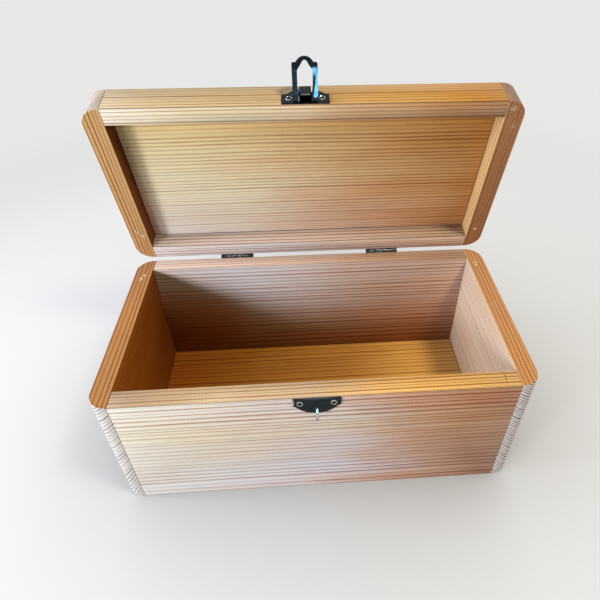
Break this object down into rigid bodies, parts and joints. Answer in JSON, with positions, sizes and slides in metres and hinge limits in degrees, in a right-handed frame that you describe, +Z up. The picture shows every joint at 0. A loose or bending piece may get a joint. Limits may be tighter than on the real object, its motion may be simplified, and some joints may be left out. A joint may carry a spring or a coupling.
{
  "type": "hinged lid wooden box",
  "caption": "Small softwood keepsake box whose framed lid swings open on rolled butt hinges and shuts with a pressed bail latch over a hook catch.",
  "frame": {"origin": "centre of the underside of the box's body, on the surface it stands on", "axes": "+X along the length towards the right end as seen from the front, +Y towards the hinges at the back, +Z up"},
  "size_m": [0.3, 0.1818, 0.2895],
  "materials": {
    "pine_end_boards": "bare, sanded softwood, grain from front to back",
    "pine_long_boards": "bare, sanded softwood, grain along the length",
    "pine_bottom_panel": "bare, sanded softwood, grain along the length",
    "pine_lid_panel": "bare, sanded softwood, grain along the length",
    "black_sheet_metal": "glossy black lacquered steel",
    "black_screws_and_pins": "glossy blackened steel"
  },
  "bodies": {
    "box": {"left_end_board": "pine_end_boards", "right_end_board": "pine_end_boards", "front_board": "pine_long_boards", "back_board": "pine_long_boards", "bottom_panel": "pine_bottom_panel", "catch_plate": "black_sheet_metal", "catch_hook": "black_sheet_metal", "catch_screws": "black_screws_and_pins", "hinge_screws_body": "black_screws_and_pins", "left_hinge_body_leaf": "black_sheet_metal", "right_hinge_body_leaf": "black_sheet_metal", "left_hinge_pin": "black_screws_and_pins", "right_hinge_pin": "black_screws_and_pins"},
    "lid": {"lid_left_rail": "pine_end_boards", "lid_right_rail": "pine_end_boards", "lid_front_rail": "pine_long_boards", "lid_back_rail": "pine_long_boards", "lid_panel": "pine_lid_panel", "latch_plate": "black_sheet_metal", "latch_screws": "black_screws_and_pins", "hinge_screws_lid": "black_screws_and_pins", "left_hinge_lid_leaf": "black_sheet_metal", "right_hinge_lid_leaf": "black_sheet_metal"},
    "bail": {"latch_bail": "black_sheet_metal"}
  },
  "joints": [
    {"name": "lid_hinge", "type": "hinge", "parent": "box", "child": "lid", "pos_m": [0, 0.0773, 0.1121], "axis": [-1, 0, 0], "range_deg": [-78, 112]},
    {"name": "bail_pivot", "type": "hinge", "parent": "lid", "child": "bail", "pos_m": [-0.002, 0.05008, 0.26611], "axis": [-1, 0, 0], "range_deg": [-110, 70]}
  ]
}
